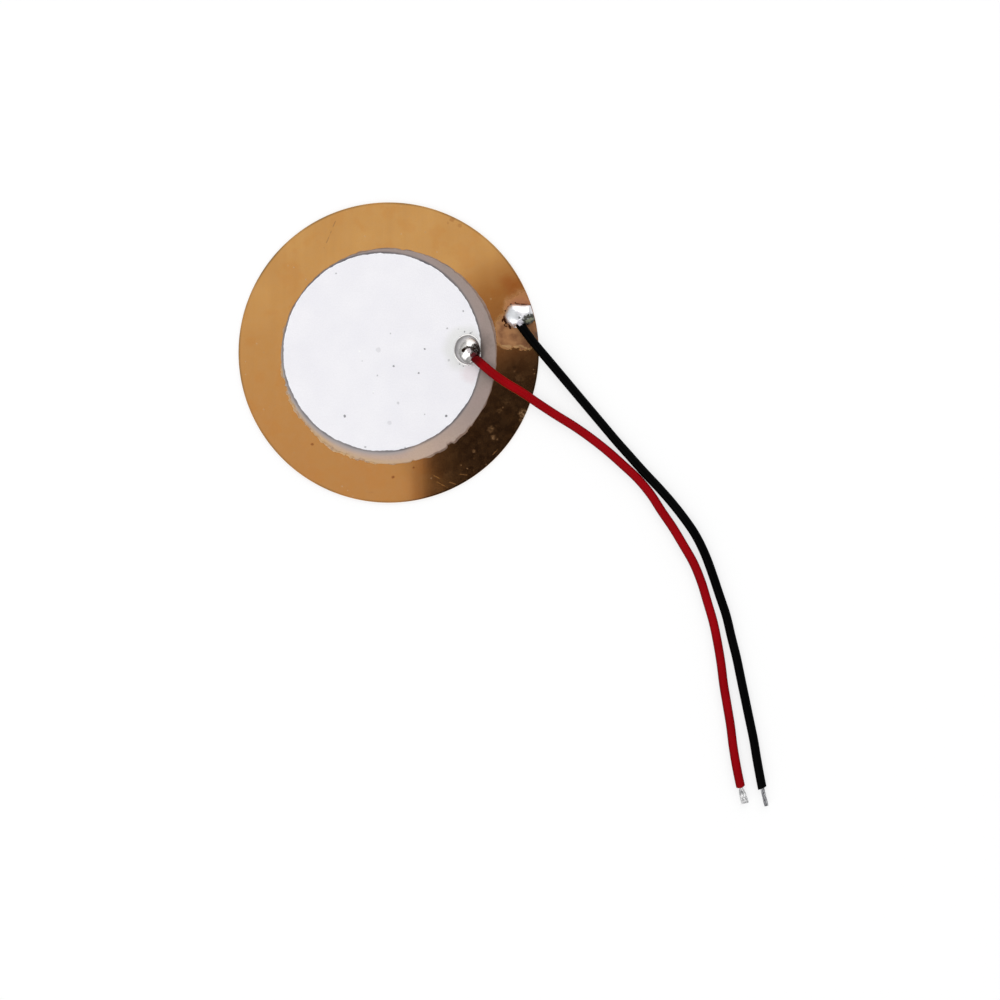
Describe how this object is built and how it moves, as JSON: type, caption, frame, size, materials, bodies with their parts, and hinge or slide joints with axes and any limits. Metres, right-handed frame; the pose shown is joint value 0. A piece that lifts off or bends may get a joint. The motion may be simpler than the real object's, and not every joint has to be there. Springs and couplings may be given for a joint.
{
  "type": "piezo disc",
  "caption": "Thin round brass plate with a silvered ceramic disc bonded on it and two soldered flexible leads.",
  "frame": {"origin": "centre of the brass plate's underside", "axes": "+Z from the brass plate towards the ceramic. +X and +Y lie along the plate. The solder joints are on the +X side of the centre, and the leads run off the rim towards +X and -Y"},
  "size_m": [0.0617, 0.0704, 0.0018],
  "materials": {
    "brass": "polished",
    "epoxy": "gloss",
    "silver": "matte",
    "ceramic": "matte",
    "solder": "gloss",
    "red_pvc": "satin",
    "black_pvc": "satin",
    "tinned_copper": "satin"
  },
  "bodies": {
    "root": {"brass_plate": "brass", "bond_film": "epoxy", "lower_electrode": "silver", "ceramic_disc": "ceramic", "upper_electrode": "silver", "electrode_solder": "solder", "plate_solder": "solder", "red_insulation": "red_pvc", "black_insulation": "black_pvc", "red_strand_1": "tinned_copper", "red_strand_2": "tinned_copper", "red_strand_3": "tinned_copper", "red_strand_4": "tinned_copper", "red_strand_5": "tinned_copper", "red_strand_6": "tinned_copper", "red_strand_7": "tinned_copper", "black_strand_1": "tinned_copper", "black_strand_2": "tinned_copper", "black_strand_3": "tinned_copper", "black_strand_4": "tinned_copper", "black_strand_5": "tinned_copper", "black_strand_6": "tinned_copper", "black_strand_7": "tinned_copper"}
  },
  "joints": []
}
